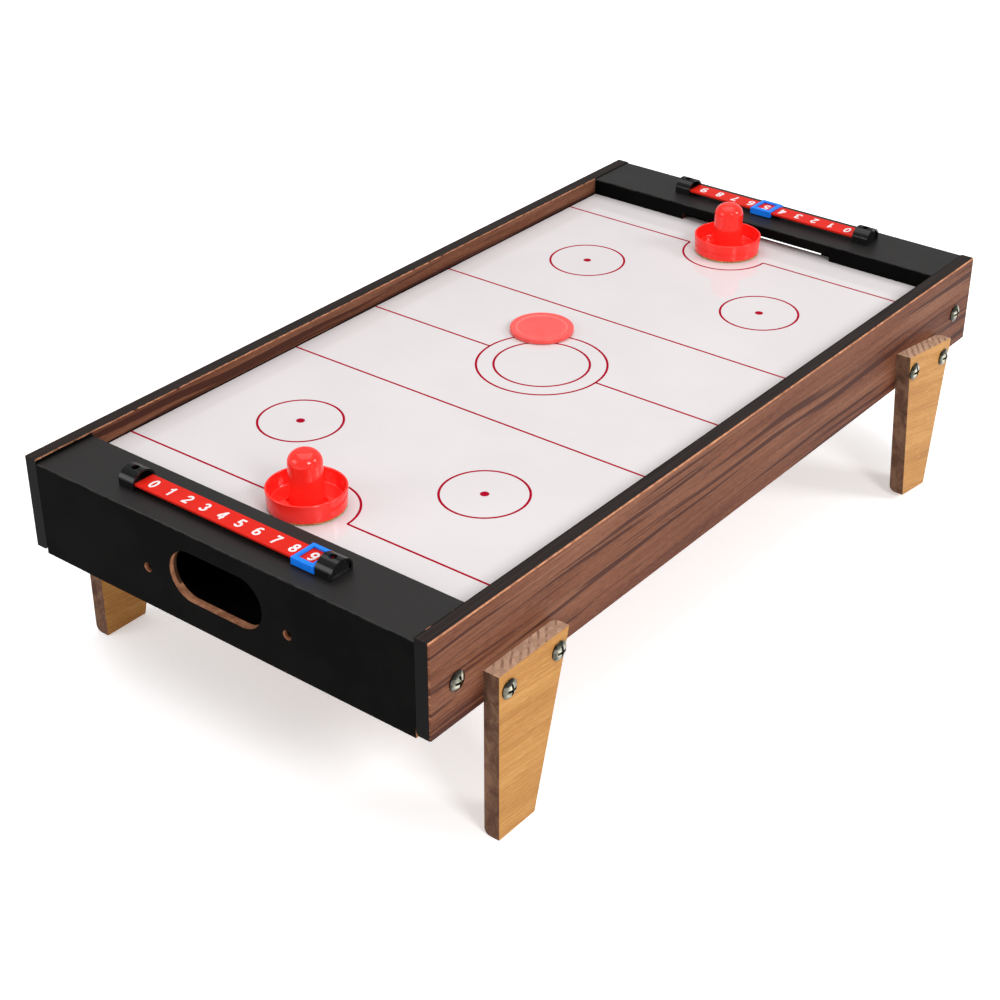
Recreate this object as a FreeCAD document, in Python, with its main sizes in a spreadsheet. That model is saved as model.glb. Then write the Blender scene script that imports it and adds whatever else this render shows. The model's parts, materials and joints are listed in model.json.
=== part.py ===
"""Tabletop air hockey game without a blower: a wooden frame on four legs, with its playing pieces.

X runs across the table, Y along it from the near end to the far end, and Z up from the floor.
The origin is on the floor, under the middle of the playing field. Lengths are in millimetres.
"""
import FreeCAD, Part
import os
import re
import Sketcher

DIMENSIONS = {
    # Outer frame
    "table_length": 690,
    "table_width": 354,
    "table_height": 175.5,
    "rail_thickness": 11,
    "rail_depth": 71,
    "rail_edge_break": 0.8,
    "rail_heel_radius": 3,
    # End boxes, folded from thin board
    "box_depth": 51,
    "box_height": 70.5,
    "board_thickness": 6,
    "fold_break": 1,
    "box_side_gap": 0.3,
    "near_box_step": 3,
    "far_box_step": 0.5,
    "tray_thickness": 4,
    "cheek_thickness": 12,
    # Openings in the end boxes
    "return_length": 82,
    "return_height": 38,
    "return_from_top": 32.5,
    "end_hole_pitch": 124.4,
    "end_hole_diameter": 7,
    "end_hole_from_top": 40.5,
    "goal_width": 145,
    "goal_height": 5,
    # Playing field
    "play_height": 161.3,
    "field_board_thickness": 9,
    "field_sheet_thickness": 0.5,
    "field_side_gap": 1,
    "field_overhang": 2,
    "batten_size": 12,
    # Legs
    "leg_height": 128,
    "leg_thickness": 12,
    "leg_top_width": 71,
    "leg_foot_width": 37,
    "leg_end_inset": 50.5,
    "leg_edge_radius": 5,
    "leg_lean": 8,
    "leaning_foot_inset": 69.5,
    # Bolts and nuts
    "leg_bolt_height": 114.5,
    "leg_bolt_inset": 9.8,
    "leg_bolt_pitch": 50.5,
    "rail_bolt_height": 135.5,
    "rail_bolt_inset": 25,
    "bolt_diameter": 6,
    "bolt_length": 29,
    "bolt_hole_diameter": 6.6,
    "bolt_head_diameter": 14,
    "bolt_head_height": 3.4,
    "bolt_head_rim": 0.8,
    "recess_length": 8.4,
    "recess_width": 1.9,
    "recess_depth": 2.1,
    "nut_width": 10,
    "nut_height": 5,
    "nut_bore": 6.2,
    # Score bars
    "near_bar_offset": -7.5,
    "near_bar_inset": 26,
    "far_bar_offset": 1.5,
    "far_bar_inset": 22.5,
    "digit_pitch": 15.7,
    "bar_span": 161,
    "strip_width": 16.5,
    "strip_thickness": 1.4,
    "strip_height": 3.2,
    "strip_tail": 10.5,
    "cap_length": 13.8,
    "cap_width": 19.6,
    "cap_side": 5.6,
    "cap_height": 11.6,
    "cap_wall": 1.4,
    "cap_end_wall": 2.6,
    "cap_end_recess": 1.1,
    "cap_corner_radius": 2.4,
    "cap_access_diameter": 5.6,
    "score_screw_diameter": 2.8,
    "score_screw_hole": 3,
    "score_screw_length": 10,
    "score_screw_head": 5,
    "score_screw_head_height": 1.8,
    "score_screw_slot": 0.7,
    # Score sliders
    "slider_length": 19,
    "slider_width": 21,
    "slider_lift": 0.8,
    "slider_lip": 2.1,
    "slider_lip_width": 3.2,
    "slider_top": 1.3,
    "slider_clearance": 0.3,
    "window_length": 12.6,
    "window_width": 14.6,
    "slider_radius": 0.5,
    # Strikers
    "sliding_gap": 0.2,
    "felt_thickness": 1.2,
    "felt_radius": 26.4,
    "cup_base_radius": 26.7,
    "cup_rim_radius": 27.5,
    "cup_rim_height": 14.9,
    "cup_wall": 1.5,
    "cup_floor": 3.6,
    "cup_edge_radius": 0.6,
    "cup_corner_radius": 1.5,
    "handle_radius": 11.8,
    "handle_wall": 2,
    "handle_height": 41.2,
    "handle_dome_radius": 8.7,
    "gusset_reach": 2.4,
    "gusset_height": 3.2,
    "gusset_thickness": 1,
    "gusset_overlap": 0.4,
    "gusset_toe": 0.6,
    "striker_turn": 38,
    "near_striker_offset": 0,
    "near_striker_inset": 87,
    "far_striker_offset": -6,
    "far_striker_inset": 84,
    # Puck
    "puck_radius": 24.6,
    "puck_thickness": 4,
    "puck_dish_radius": 20.4,
    "puck_dish_depth": 0.7,
    "puck_edge_radius": 0.9,
    "puck_offset": -35.5,
    "puck_advance": 43.5,
}

NEAR, FAR = "near", "far"
LEFT, RIGHT = "left", "right"
START, CENTRE = 1, 3
ORIGIN = -1

INNER_HALF = "(table_width / 2 - rail_thickness)"
RAIL_BOTTOM = "(table_height - rail_depth)"
BOX_TOP = {NEAR: "(table_height - near_box_step)", FAR: "(table_height - far_box_step)"}
BOX_BOTTOM = {end: f"({top} - box_height)" for end, top in BOX_TOP.items()}
BOX_WIDTH = f"(2 * {INNER_HALF} - 2 * box_side_gap)"
FIELD_BOTTOM = "(play_height - field_sheet_thickness - field_board_thickness)"
FIELD_INSET = "(box_depth - board_thickness - field_overhang)"
BAR_OFFSET = {NEAR: "near_bar_offset", FAR: "far_bar_offset"}
BAR_INSET = {NEAR: "near_bar_inset", FAR: "far_bar_inset"}
CAP_CENTRE = "(bar_span / 2 + cap_length / 2)"
STRIP_TOP = "(strip_height + strip_thickness)"
SLIDER_TOP = f"({STRIP_TOP} + slider_clearance + slider_top)"

document = FreeCAD.newDocument("air_hockey_table")
subparts = []


# ---------------------------------------------------------------- helpers

def fill_sheet():
    """Put every driving dimension in a cell of its own, under its own name."""
    sheet = document.addObject("Spreadsheet::Sheet", "dims")
    for row, (name, size) in enumerate(DIMENSIONS.items(), start=1):
        sheet.set(f"A{row}", name)
        sheet.set(f"B{row}", str(size))
        sheet.setAlias(f"B{row}", name)
    document.recompute()
    return sheet


def full(text):
    """Write the sheet's name in front of each dimension in an expression."""
    return re.sub(r"[a-z]+(_[a-z]+)+", lambda found: "dims." + found.group(), text)


def number(text):
    """Work out an expression's present value."""
    return float(sheet.evalExpression(full(text)))


def bind(target, settings):
    """Tie properties of an object to expressions in the sheet's dimensions."""
    for name, text in settings.items():
        target.setExpression(name, full(text))


def keep(part, label):
    """Name a finished piece, and list it as one of the table's separate pieces."""
    part.Label = label
    subparts.append(part)
    return part


def turn(part, degrees, axis=(0, 0, 1)):
    part.Placement = FreeCAD.Placement(FreeCAD.Vector(), FreeCAD.Rotation(FreeCAD.Vector(*axis), degrees))


def place(part, x="0", y="0", z="0"):
    bind(part, {"Placement.Base.x": x, "Placement.Base.y": y, "Placement.Base.z": z})


def stand_at_end(part, end):
    """Stand a part, drawn from the end face inwards, at the near or the far end of the table."""
    if end == NEAR:
        place(part, y="-table_length / 2")
    else:
        turn(part, 180)
        place(part, y="table_length / 2")


def block(name, size, corner):
    """A plain board: size and lowest corner, each as three expressions."""
    board = document.addObject("Part::Box", name)
    bind(board, dict(zip(("Length", "Width", "Height"), size)))
    place(board, *corner)
    return board


def sketch_on(body, plane, offset="0"):
    """A sketch on one of the body's own origin planes, moved along the plane's normal by the offset."""
    sketch = body.newObject("Sketcher::SketchObject", body.Name + "_sketch")
    support = next(item for item in body.Origin.OriginFeatures if item.Role == plane)
    sketch.AttachmentSupport = (support, [""])
    sketch.MapMode = "FlatFace"
    bind(sketch, {"AttachmentOffset.Base.z": offset})
    return sketch


def pin_down(sketch, kind, item, point, text):
    """Hold one coordinate of a point at an expression's value, measured from the sketch's origin."""
    index = sketch.addConstraint(Sketcher.Constraint(kind, ORIGIN, START, item, point, number(text)))
    bind(sketch, {f"Constraints[{index}]": text})


def add_outline(sketch, corners, arcs=None):
    """Draw a closed outline through corners that run anticlockwise.

    arcs gives, for a corner's number, the centre of the anticlockwise arc that leaves it.
    """
    arcs = arcs or {}
    points = [FreeCAD.Vector(number(across), number(up), 0) for across, up in corners]
    count = len(points)
    first = sketch.GeometryCount
    for index, start in enumerate(points):
        end = points[(index + 1) % count]
        if index in arcs:
            centre = FreeCAD.Vector(number(arcs[index][0]), number(arcs[index][1]), 0)
            circle = Part.Circle(centre, FreeCAD.Vector(0, 0, 1), (start - centre).Length)
            edge = Part.ArcOfCircle(circle, circle.parameter(start), circle.parameter(end))
        else:
            edge = Part.LineSegment(start, end)
        sketch.addGeometry(edge)
    for index, start in enumerate(points):
        following = (index + 1) % count
        sketch.addConstraint(Sketcher.Constraint("Coincident", first + index, 2, first + following, START))
        pin_down(sketch, "DistanceX", first + index, START, corners[index][0])
        pin_down(sketch, "DistanceY", first + index, START, corners[index][1])
        if index in arcs:
            chord = points[following] - start
            wide = abs(chord.x) > abs(chord.y)
            pin_down(sketch, "DistanceY" if wide else "DistanceX", first + index, CENTRE, arcs[index][wide])


def add_circle(sketch, across, up, diameter):
    centre = FreeCAD.Vector(number(across), number(up), 0)
    item = sketch.addGeometry(Part.Circle(centre, FreeCAD.Vector(0, 0, 1), number(diameter) / 2))
    pin_down(sketch, "DistanceX", item, CENTRE, across)
    pin_down(sketch, "DistanceY", item, CENTRE, up)
    index = sketch.addConstraint(Sketcher.Constraint("Diameter", item, number(diameter)))
    bind(sketch, {f"Constraints[{index}]": diameter})


def rectangle(low_across, low_up, high_across, high_up):
    return [(low_across, low_up), (high_across, low_up), (high_across, high_up), (low_across, high_up)]


def new_body(name):
    return document.addObject("PartDesign::Body", name)


def pad(body, sketch, length):
    feature = body.newObject("PartDesign::Pad", body.Name + "_pad")
    feature.Profile = sketch
    bind(feature, {"Length": length})
    document.recompute()
    return feature


def cut_away(body, sketch, depth=None, forwards=False):
    """Cut a pocket against the sketch's normal, or forwards along it; with no depth, all the way."""
    before = body.Shape.Volume
    feature = body.newObject("PartDesign::Pocket", body.Name + "_pocket")
    feature.Profile = sketch
    feature.Reversed = forwards
    if depth is None:
        feature.Type = "ThroughAll"
    else:
        bind(feature, {"Length": depth})
    document.recompute()
    if body.Shape.Volume > before - 0.1:
        raise RuntimeError(f"a pocket in {body.Label} cuts nothing")
    return feature


def spin(body, sketch, axis):
    """Revolve a sketch once about its own horizontal or vertical axis."""
    feature = body.newObject("PartDesign::Revolution", body.Name + "_revolution")
    feature.Profile = sketch
    feature.ReferenceAxis = (sketch, [axis])
    feature.Angle = 360
    document.recompute()
    return feature


def dress(body, kind, prop, size, chosen):
    """Fillet or chamfer the edges of the body's tip that the test picks out."""
    base = body.Tip
    names = [f"Edge{index}" for index, edge in enumerate(base.Shape.Edges, start=1) if chosen(edge)]
    if not names:
        raise RuntimeError(f"{body.Label} has no edge to {kind.lower()}")
    feature = body.newObject(f"PartDesign::{kind}", body.Name + "_" + kind.lower())
    feature.Base = (base, names)
    bind(feature, {prop: size})
    document.recompute()
    return feature


def fillet(body, radius, chosen):
    return dress(body, "Fillet", "Radius", radius, chosen)


def near_to(first, second, slack=0.01):
    return abs(first - second) < slack


def all_points(edge, test):
    """True when both ends and the middle of an edge pass the test."""
    low, high = edge.ParameterRange
    return all(test(edge.valueAt(low + (high - low) * part)) for part in (0, 0.5, 1))


def ring_at(radius, height):
    """A test for a full circle about the Z axis, of this radius and at this height."""
    def chosen(edge):
        def on_ring(point):
            return near_to((point.x ** 2 + point.y ** 2) ** 0.5, radius) and near_to(point.z, height)
        return all_points(edge, on_ring)
    return chosen


# ---------------------------------------------------------------- side rails and legs

def leaning_bolt(distance):
    """Place of a leg bolt in the leg that leans in its own plane, from its distance to the straight edge."""
    y = (f"table_length / 2 - leaning_foot_inset - ({distance}) * cos(leg_lean * 1deg)"
         " + leg_bolt_height * sin(leg_lean * 1deg)")
    z = f"({distance}) * sin(leg_lean * 1deg) + leg_bolt_height * cos(leg_lean * 1deg)"
    return y, z


def leg_bolts_of(side, end):
    """The two bolts of one leg, as (y, z) expressions."""
    distances = ("leg_bolt_inset", "leg_bolt_inset + leg_bolt_pitch")
    if (side, end) == (RIGHT, FAR):
        return [leaning_bolt(distance) for distance in distances]
    sign = "-1" if end == NEAR else "1"
    return [(f"{sign} * (table_length / 2 - leg_end_inset - ({distance}))", "leg_bolt_height")
            for distance in distances]


def rail_bolt_of(end):
    sign = "-1" if end == NEAR else "1"
    return f"{sign} * (table_length / 2 - rail_bolt_inset)", "rail_bolt_height"


def make_rail(side):
    """A long side board with bolt holes, a broken outer top edge and a rounded inner bottom edge."""
    body = new_body(f"{side}_rail_body")
    profile = sketch_on(body, "YZ_Plane")
    add_outline(profile, rectangle("-table_length / 2", RAIL_BOTTOM, "table_length / 2", "table_height"))
    pad(body, profile, "rail_thickness")
    holes = sketch_on(body, "YZ_Plane")
    turned = "-1" if side == LEFT else "1"
    for end in (NEAR, FAR):
        for y, z in leg_bolts_of(side, end) + [rail_bolt_of(end)]:
            add_circle(holes, f"{turned} * ({y})", z, "bolt_hole_diameter")
    cut_away(body, holes, forwards=True)
    thickness, top, end_face = number("rail_thickness"), number("table_height"), number("table_length / 2")
    bottom = number(RAIL_BOTTOM)
    fillet(body, "rail_heel_radius", lambda edge: all_points(
        edge, lambda point: near_to(point.x, 0) and near_to(point.z, bottom)))
    dress(body, "Chamfer", "Size", "rail_edge_break", lambda edge: all_points(
        edge, lambda point: near_to(point.x, thickness)
        and (near_to(point.z, top) or near_to(abs(point.y), end_face))))
    if side == LEFT:
        turn(body, 180)
        place(body, x=f"-{INNER_HALF}")
    else:
        place(body, x=INNER_HALF)
    return keep(body, f"{side}_side_rail")


def make_leg(side, end):
    """A tapered board: one edge straight, the edge towards the table's middle slanted.

    It is drawn with its inner face on the YZ plane and its straight edge at y = 0. On one face the foot
    and the long edge nearer the far end are rounded: the outer face of the near left leg, which is
    bolted on the other way round, and the inner face of the rest.
    """
    slant = "1" if (side, end) in ((RIGHT, NEAR), (LEFT, FAR)) else "-1"
    body = new_body(f"{end}_{side}_leg_body")
    corners = [("0", "0"), (f"{slant} * leg_foot_width", "0"),
               (f"{slant} * leg_top_width", "leg_height"), ("0", "leg_height")]
    if slant == "-1":
        corners.reverse()
    profile = sketch_on(body, "YZ_Plane")
    add_outline(profile, corners)
    pad(body, profile, "leg_thickness")
    height, foot, top = number("leg_height"), number("leg_foot_width"), number("leg_top_width")
    rounded_face = number("leg_thickness") if (side, end) == (LEFT, NEAR) else 0

    def on_rounded_edges(point):
        far_edge = foot + (top - foot) * point.z / height if end == NEAR else 0
        return near_to(point.x, rounded_face) and (near_to(point.z, 0) or near_to(abs(point.y), far_edge))

    fillet(body, "leg_edge_radius", lambda edge: all_points(edge, on_rounded_edges))
    holes = sketch_on(body, "YZ_Plane")
    for distance in ("leg_bolt_inset", "leg_bolt_inset + leg_bolt_pitch"):
        add_circle(holes, f"{slant} * ({distance})", "leg_bolt_height", "bolt_hole_diameter")
    cut_away(body, holes, forwards=True)
    if (side, end) == (RIGHT, FAR):
        turn(body, -number("leg_lean"), axis=(1, 0, 0))
        place(body, x="table_width / 2", y="table_length / 2 - leaning_foot_inset")
    else:
        if side == LEFT:
            turn(body, 180)
        across = "-1" if side == LEFT else "1"
        along = "-1" if end == NEAR else "1"
        place(body, x=f"{across} * table_width / 2", y=f"{along} * (table_length / 2 - leg_end_inset)")
    return keep(body, f"{end}_{side}_leg")


# ---------------------------------------------------------------- end boxes

def make_folded_board(name, end, section):
    """A length of thin board across the table, from its section seen along X."""
    body = new_body(name + "_body")
    profile = sketch_on(body, "YZ_Plane", f"-{BOX_WIDTH} / 2")
    add_outline(profile, section)
    pad(body, profile, BOX_WIDTH)
    return body


def make_end_board(end):
    """The outer board of an end box, with the opening that gives the puck back and two small holes."""
    top, bottom = BOX_TOP[end], BOX_BOTTOM[end]
    body = make_folded_board(f"{end}_end_board", end, [
        ("0", bottom), ("board_thickness", bottom), ("board_thickness", f"{top} - board_thickness"),
        ("fold_break / 2", f"{top} - fold_break / 2"), ("0", f"{top} - fold_break")])
    middle = f"({top} - return_from_top)"
    straight = "(return_length / 2 - return_height / 2)"
    opening = sketch_on(body, "XZ_Plane")
    add_outline(
        opening,
        rectangle(f"-{straight}", f"{middle} - return_height / 2", straight, f"{middle} + return_height / 2"),
        arcs={1: (straight, middle), 3: (f"-{straight}", middle)})
    cut_away(body, opening)
    holes = sketch_on(body, "XZ_Plane")
    for sign in ("-1", "1"):
        add_circle(holes, f"{sign} * end_hole_pitch / 2", f"{top} - end_hole_from_top", "end_hole_diameter")
    cut_away(body, holes)
    stand_at_end(body, end)
    return keep(body, f"{end}_end_board")


def make_end_top(end):
    """The flat top of an end box, mitred to the boards on both sides, with pilot holes for the score bar."""
    top = BOX_TOP[end]
    body = make_folded_board(f"{end}_end_top", end, [
        ("board_thickness", f"{top} - board_thickness"),
        ("box_depth - board_thickness", f"{top} - board_thickness"),
        ("box_depth - fold_break / 2", f"{top} - fold_break / 2"), ("box_depth - fold_break", top),
        ("fold_break", top), ("fold_break / 2", f"{top} - fold_break / 2")])
    holes = sketch_on(body, "XY_Plane")
    turned = "1" if end == NEAR else "-1"
    for sign in ("-1", "1"):
        across = f"{turned} * ({BAR_OFFSET[end]} + {sign} * {CAP_CENTRE})"
        add_circle(holes, across, BAR_INSET[end], "score_screw_hole")
    cut_away(body, holes, forwards=True)
    stand_at_end(body, end)
    return keep(body, f"{end}_end_top")


def make_goal_lip(end):
    """The low wall that stops the puck, with the goal's slot along its foot."""
    top = BOX_TOP[end]
    inner = "(box_depth - board_thickness)"
    body = make_folded_board(f"{end}_goal_lip", end, [
        (inner, "play_height"), ("box_depth", "play_height"), ("box_depth", f"{top} - fold_break"),
        ("box_depth - fold_break / 2", f"{top} - fold_break / 2"), (inner, f"{top} - board_thickness")])
    slot = sketch_on(body, "XZ_Plane")
    add_outline(slot, rectangle(
        "-goal_width / 2", "play_height - goal_height", "goal_width / 2", "play_height + goal_height"))
    cut_away(body, slot)
    stand_at_end(body, end)
    return keep(body, f"{end}_goal_lip")


def block_in_box(name, end, size, low_x, from_end, low_z):
    """A plain board inside an end box, at a distance inwards from the end face."""
    low_y = f"-table_length / 2 + {from_end}" if end == NEAR else f"table_length / 2 - {from_end} - {size[1]}"
    return block(name, size, (low_x, low_y, low_z))


def make_box_inside(end):
    """The tray that catches the puck, the board behind it, and the two cheeks that take the rail bolts."""
    top, bottom = BOX_TOP[end], BOX_BOTTOM[end]
    tray_top = f"({bottom} + tray_thickness)"
    depth = f"({FIELD_INSET} + board_thickness)"
    keep(block_in_box(f"{end}_tray", end, (BOX_WIDTH, f"({depth} - board_thickness)", "tray_thickness"),
                      f"-{BOX_WIDTH} / 2", "board_thickness", bottom), f"{end}_puck_tray")
    keep(block_in_box(f"{end}_back", end, (BOX_WIDTH, "board_thickness", f"{FIELD_BOTTOM} - {tray_top}"),
                      f"-{BOX_WIDTH} / 2", FIELD_INSET, tray_top), f"{end}_back_board")
    cheek_size = ("cheek_thickness", f"({FIELD_INSET} - board_thickness)",
                  f"{top} - board_thickness - {tray_top}")
    for side in (LEFT, RIGHT):
        low_x = f"-{INNER_HALF}" if side == LEFT else f"{INNER_HALF} - cheek_thickness"
        wood = block_in_box(f"{end}_{side}_block", end, cheek_size, low_x, "board_thickness", tray_top)
        drill = document.addObject("Part::Cylinder", f"{end}_{side}_drill")
        turn(drill, 90, axis=(0, 1, 0))
        bind(drill, {"Radius": "bolt_hole_diameter / 2", "Height": "cheek_thickness"})
        place(drill, low_x, *rail_bolt_of(end))
        cheek = document.addObject("Part::Cut", f"{end}_{side}_cut")
        cheek.Base = wood
        cheek.Tool = drill
        keep(cheek, f"{end}_{side}_cheek")


# ---------------------------------------------------------------- playing field

def make_field():
    """The field's board and its printed sheet, on two battens along the rails."""
    half_width = f"({INNER_HALF} - field_side_gap)"
    half_length = f"(table_length / 2 - {FIELD_INSET})"
    size = (f"2 * {half_width}", f"2 * {half_length}")
    keep(block("board", size + ("field_board_thickness",),
               (f"-{half_width}", f"-{half_length}", FIELD_BOTTOM)), "field_board")
    keep(block("sheet", size + ("field_sheet_thickness",),
               (f"-{half_width}", f"-{half_length}", "play_height - field_sheet_thickness")), "field_sheet")
    batten_half = f"({half_length} - board_thickness)"
    for side, low_x in ((LEFT, f"-{INNER_HALF}"), (RIGHT, f"{INNER_HALF} - batten_size")):
        keep(block(f"{side}_batten", ("batten_size", f"2 * {batten_half}", "batten_size"),
                   (low_x, f"-{batten_half}", f"{FIELD_BOTTOM} - batten_size")), f"{side}_field_batten")


# ---------------------------------------------------------------- fasteners

def make_bolt_pattern_piece():
    """A domed cross-recess bolt along X: the head stands out towards +X and the shank runs to -X."""
    body = new_body("bolt_body")
    profile = sketch_on(body, "XY_Plane")
    rise = "(bolt_head_height - bolt_head_rim)"
    ball = f"(({rise} ^ 2 + (bolt_head_diameter / 2) ^ 2) / (2 * {rise}))"
    add_outline(
        profile,
        [("-bolt_length", "0"), ("bolt_head_height", "0"), ("bolt_head_rim", "bolt_head_diameter / 2"),
         ("0", "bolt_head_diameter / 2"), ("0", "bolt_diameter / 2"), ("-bolt_length", "bolt_diameter / 2")],
        arcs={1: (f"bolt_head_height - {ball}", "0")})
    spin(body, profile, "H_Axis")
    recess = sketch_on(body, "YZ_Plane", "bolt_head_height")
    reach, half = "recess_length / 2", "recess_width / 2"
    arm = [(reach, f"-{half}"), (reach, half), (half, half)]
    cross = []
    for quarter in range(4):
        cross += arm
        arm = [(f"-({up})", across) for across, up in arm]
    add_outline(recess, cross)
    cut_away(body, recess, "recess_depth")
    return body


def make_nut_piece():
    """A hexagon nut along X, whose seat is at x = 0 and whose body runs to -X."""
    body = new_body("nut_body")
    profile = sketch_on(body, "YZ_Plane", "-nut_height")
    corners = [(f"nut_width / sqrt(3) * cos({60 * step}deg)", f"nut_width / sqrt(3) * sin({60 * step}deg)")
               for step in range(6)]
    add_outline(profile, corners)
    add_circle(profile, "0", "0", "nut_bore")
    pad(body, profile, "nut_height")
    return body


def make_score_screw_piece():
    """A small pan-head screw along Z, whose head rests on z = 0."""
    body = new_body("score_screw_body")
    profile = sketch_on(body, "XZ_Plane")
    add_outline(profile, [
        ("0", "-score_screw_length"), ("score_screw_diameter / 2", "-score_screw_length"),
        ("score_screw_diameter / 2", "0"), ("score_screw_head / 2", "0"),
        ("score_screw_head / 2", "score_screw_head_height"), ("0", "score_screw_head_height")])
    spin(body, profile, "V_Axis")
    fillet(body, "score_screw_head_height / 2",
           ring_at(number("score_screw_head / 2"), number("score_screw_head_height")))
    recess = sketch_on(body, "XY_Plane", "score_screw_head_height")
    reach = "score_screw_head / 3"
    half = "score_screw_slot / 2"
    add_outline(recess, rectangle(f"-{reach}", f"-{half}", reach, half))
    cut_away(body, recess, "score_screw_head_height / 2")
    return body


def make_group(label, pattern_piece, seats):
    """Copies of one fastener at several seats, each (x, y, z, turned half round or not)."""
    copies = []
    for index, (x, y, z, turned) in enumerate(seats, start=1):
        copy = document.addObject("App::Link", f"{label}_{index}")
        copy.LinkedObject = pattern_piece
        if turned:
            turn(copy, 180)
        place(copy, x, y, z)
        copies.append(copy)
    group = document.addObject("Part::Compound", label + "_group")
    group.Links = copies
    return keep(group, label)


def make_fasteners():
    bolt = make_bolt_pattern_piece()
    nut = make_nut_piece()
    leg_bolts, leg_nuts, rail_bolts, rail_nuts = [], [], [], []
    for side in (LEFT, RIGHT):
        sign = "-1" if side == LEFT else "1"
        turned = side == LEFT
        for end in (NEAR, FAR):
            for y, z in leg_bolts_of(side, end):
                leg_bolts.append((f"{sign} * (table_width / 2 + leg_thickness)", y, z, turned))
                leg_nuts.append((f"{sign} * {INNER_HALF}", y, z, turned))
            y, z = rail_bolt_of(end)
            rail_bolts.append((f"{sign} * table_width / 2", y, z, turned))
            rail_nuts.append((f"{sign} * ({INNER_HALF} - cheek_thickness)", y, z, turned))
    make_group("leg_bolts", bolt, leg_bolts)
    make_group("leg_nuts", nut, leg_nuts)
    make_group("rail_bolts", bolt, rail_bolts)
    make_group("rail_nuts", nut, rail_nuts)


# ---------------------------------------------------------------- score bars

def bar_origin(end):
    """The middle of a score bar, where it stands on the end box."""
    sign = "-1" if end == NEAR else "1"
    return BAR_OFFSET[end], f"{sign} * (table_length / 2 - {BAR_INSET[end]})", BOX_TOP[end]


def make_score_strip(end):
    """The flat strip that carries the numbers, with a screw hole near each end."""
    body = new_body(f"{end}_score_strip_body")
    profile = sketch_on(body, "XY_Plane", "strip_height")
    half = "(bar_span / 2 + strip_tail)"
    add_outline(profile, rectangle(f"-{half}", "-strip_width / 2", half, "strip_width / 2"))
    for sign in ("-1", "1"):
        add_circle(profile, f"{sign} * {CAP_CENTRE}", "0", "score_screw_hole")
    pad(body, profile, "strip_thickness")
    place(body, *bar_origin(end))
    return keep(body, f"{end}_score_strip")


def arch(half_width, foot, side, top):
    """An arch seen along X: corners and arc of an outline with a bowed top."""
    rise = f"({top} - ({side}))"
    radius = f"((({half_width}) ^ 2 + {rise} ^ 2) / (2 * {rise}))"
    corners = rectangle(f"-({half_width})", foot, half_width, side)
    return corners, {2: ("0", f"{top} - {radius}")}


def make_score_cap(end, side):
    """The arched holder of one end of a score bar, open towards the strip and hollow inside.

    It is drawn with its open end at x = 0 and its closed end at x = cap_length.
    """
    body = new_body(f"{end}_{side}_cap_body")
    profile = sketch_on(body, "YZ_Plane")
    add_outline(profile, *arch("cap_width / 2", "0", "cap_side", "cap_height"))
    pad(body, profile, "cap_length")
    half, shoulder = number("cap_width / 2"), number("cap_side")
    fillet(body, "cap_corner_radius", lambda edge: all_points(
        edge, lambda point: near_to(abs(point.y), half) and near_to(point.z, shoulder)))
    cavity = sketch_on(body, "YZ_Plane")
    add_outline(cavity, *arch(
        "cap_width / 2 - cap_wall", "strip_height", "cap_side - cap_wall / 2", "cap_height - cap_wall"))
    cut_away(body, cavity, "cap_length - cap_end_wall", forwards=True)
    end_recess = sketch_on(body, "YZ_Plane", "cap_length")
    add_outline(end_recess, *arch(
        "cap_width / 2 - cap_wall", "cap_wall", "cap_side - cap_wall / 2", "cap_height - cap_wall"))
    cut_away(body, end_recess, "cap_end_recess")
    access = sketch_on(body, "XY_Plane", "cap_side")
    add_circle(access, "cap_length / 2", "0", "cap_access_diameter")
    cut_away(body, access, forwards=True)
    foot_hole = sketch_on(body, "XY_Plane", "cap_side")
    add_circle(foot_hole, "cap_length / 2", "0", "score_screw_hole")
    cut_away(body, foot_hole)
    x, y, z = bar_origin(end)
    if side == LEFT:
        turn(body, 180)
        place(body, f"{x} - bar_span / 2", y, z)
    else:
        place(body, f"{x} + bar_span / 2", y, z)
    return keep(body, f"{end}_{side}_score_cap")


def make_score_slider(end, digit):
    """The blue clip that runs along the strip and frames one number in its window."""
    body = new_body(f"{end}_slider_body")
    half = "slider_width / 2"
    channel = "(strip_width / 2 + slider_clearance)"
    slot = f"({half} - slider_lip_width)"
    lip_top = "(slider_lift + slider_lip)"
    roof = f"({STRIP_TOP} + slider_clearance)"
    profile = sketch_on(body, "YZ_Plane", "-slider_length / 2")
    add_outline(profile, [
        (f"-{half}", "slider_lift"), (f"-{slot}", "slider_lift"), (f"-{slot}", lip_top),
        (f"-{channel}", lip_top), (f"-{channel}", roof), (channel, roof), (channel, lip_top),
        (slot, lip_top), (slot, "slider_lift"), (half, "slider_lift"), (half, SLIDER_TOP),
        (f"-{half}", SLIDER_TOP)])
    pad(body, profile, "slider_length")
    window = sketch_on(body, "XY_Plane", f"{roof} - slider_clearance")
    add_outline(window, rectangle(
        "-window_length / 2", "-window_width / 2", "window_length / 2", "window_width / 2"))
    cut_away(body, window, forwards=True)
    edge_x, edge_y, edge_z = number("slider_length / 2"), number("slider_width / 2"), number(SLIDER_TOP)
    fillet(body, "slider_radius", lambda edge: all_points(
        edge, lambda point: near_to(point.z, edge_z)
        and (near_to(abs(point.x), edge_x) or near_to(abs(point.y), edge_y))))
    x, y, z = bar_origin(end)
    sign = "1" if end == NEAR else "-1"
    if end == FAR:
        turn(body, 180)
    place(body, f"{x} + {sign} * ({digit} - 4.5) * digit_pitch", y, z)
    return keep(body, f"{end}_score_slider")


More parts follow.
